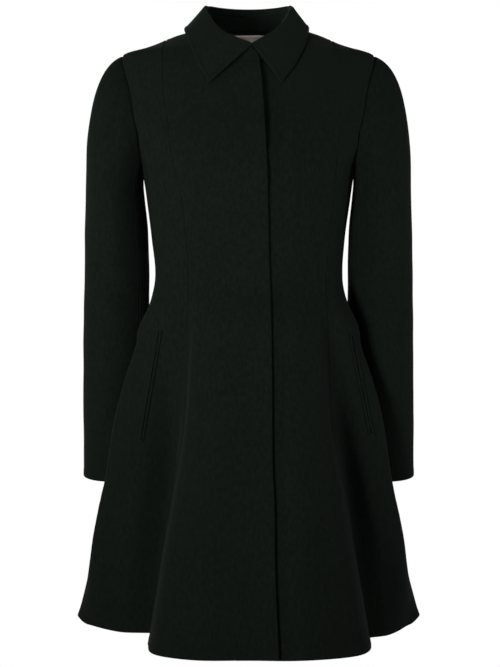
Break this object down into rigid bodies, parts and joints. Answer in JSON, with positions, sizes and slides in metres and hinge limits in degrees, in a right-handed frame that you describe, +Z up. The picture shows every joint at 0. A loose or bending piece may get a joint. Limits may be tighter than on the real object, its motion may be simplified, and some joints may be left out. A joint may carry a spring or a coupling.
{
  "type": "flared coat",
  "caption": "Flared wool coat with a pointed collar, a hidden front fastening, princess seams, slanted pockets and long sleeves, filled out as when worn.",
  "frame": {"origin": "on the centre line, inside the neck, level with the points where the shoulder seams meet the neck", "axes": "+Z up, -Y out of the coat's front, +X towards the wearer's left"},
  "size_m": [0.51, 0.4474, 0.9141],
  "materials": {
    "coat_wool": "matt brushed wool with a short soft nap",
    "label_cloth": "smooth woven satin"
  },
  "bodies": {
    "root": {"front_right": "coat_wool", "front_left": "coat_wool", "side_front_right": "coat_wool", "side_front_left": "coat_wool", "side_back_right": "coat_wool", "side_back_left": "coat_wool", "back": "coat_wool", "collar_stand": "coat_wool", "collar_fall": "coat_wool", "sleeve_right_upper": "coat_wool", "sleeve_right_upper_forearm": "coat_wool", "sleeve_right_under": "coat_wool", "sleeve_left_upper": "coat_wool", "sleeve_left_upper_forearm": "coat_wool", "sleeve_left_under": "coat_wool", "pocket_right_front_lip": "coat_wool", "pocket_right_back_lip": "coat_wool", "pocket_left_front_lip": "coat_wool", "pocket_left_back_lip": "coat_wool", "neck_label": "label_cloth"}
  },
  "joints": []
}
